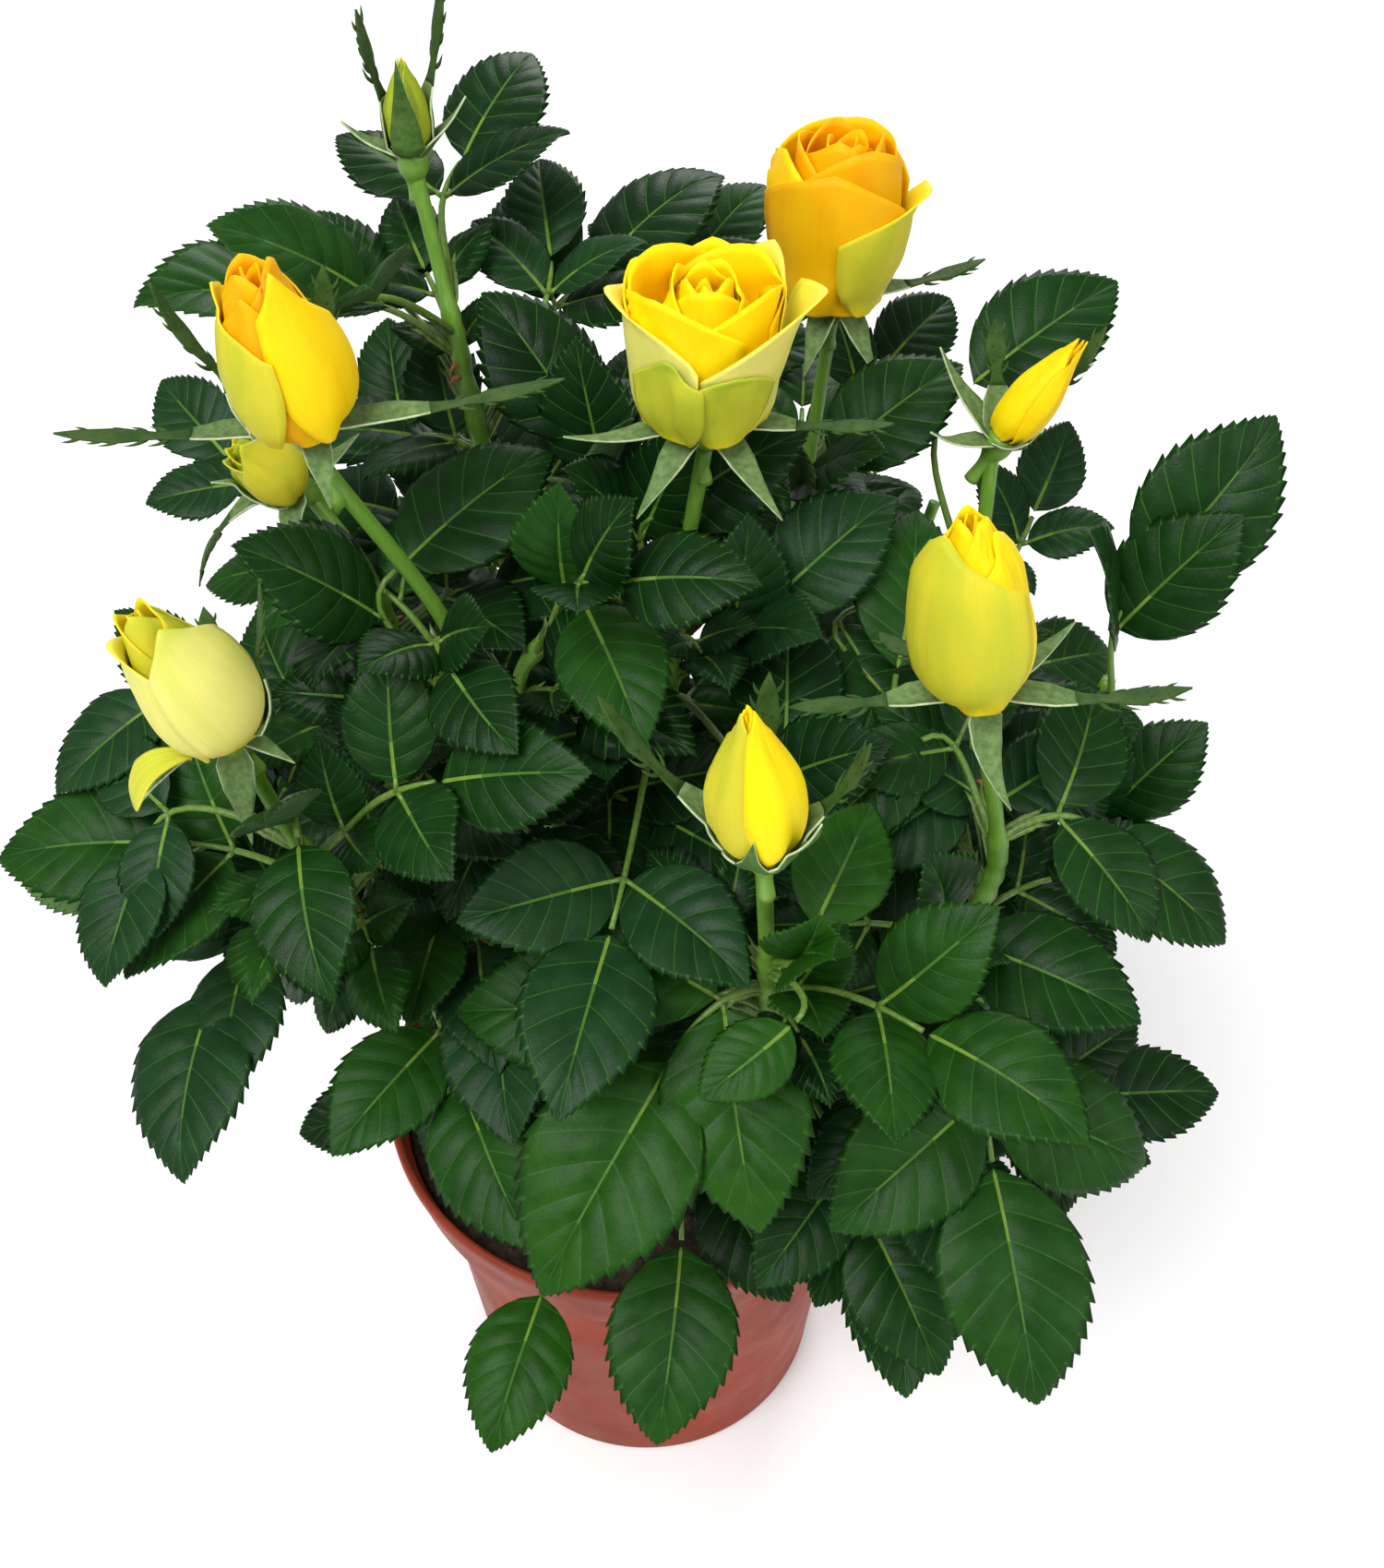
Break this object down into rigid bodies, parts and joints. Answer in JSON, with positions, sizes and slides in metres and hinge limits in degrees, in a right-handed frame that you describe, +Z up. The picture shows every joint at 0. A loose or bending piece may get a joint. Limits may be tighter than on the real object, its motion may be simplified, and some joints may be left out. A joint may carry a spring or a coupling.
{
  "type": "potted rose bush",
  "caption": "Patio rose bush in a tapered plastic nursery pot, with woody stems, leafy canes, half-open roses and buds.",
  "frame": {"origin": "centre of the flat underside of the pot", "axes": "+Z up from the pot's underside, -Y toward the front of the bush, +X to its right"},
  "size_m": [0.2297, 0.2268, 0.3469],
  "materials": {
    "pot": "matte",
    "soil": "rough",
    "bark": "rough",
    "cane": "satin",
    "foliage": "satin",
    "petals": "satin"
  },
  "bodies": {
    "root": {"pot": "pot", "soil": "soil", "main_stem_left": "bark", "main_stem_front": "bark", "main_stem_back": "bark", "cane_1": "cane", "bloom_1": "petals", "foliage_1": "foliage", "cane_2": "cane", "bloom_2": "petals", "foliage_2": "foliage", "cane_3": "cane", "bloom_3": "petals", "foliage_3": "foliage", "cane_4": "cane", "bloom_4": "petals", "foliage_4": "foliage", "cane_5": "cane", "bloom_5": "petals", "foliage_5": "foliage", "cane_6": "cane", "bloom_6": "petals", "foliage_6": "foliage", "cane_7": "cane", "bloom_7": "petals", "foliage_7": "foliage", "cane_8": "cane", "bloom_8": "petals", "foliage_8": "foliage", "cane_9": "cane", "bloom_9": "petals", "foliage_9": "foliage", "cane_10": "cane", "foliage_10": "foliage", "cane_11": "cane", "foliage_11": "foliage", "cane_12": "cane", "foliage_12": "foliage", "cane_13": "cane", "foliage_13": "foliage", "cane_14": "cane", "foliage_14": "foliage", "cane_15": "cane", "foliage_15": "foliage", "cane_16": "cane", "foliage_16": "foliage", "cane_17": "cane", "foliage_17": "foliage"}
  },
  "joints": []
}
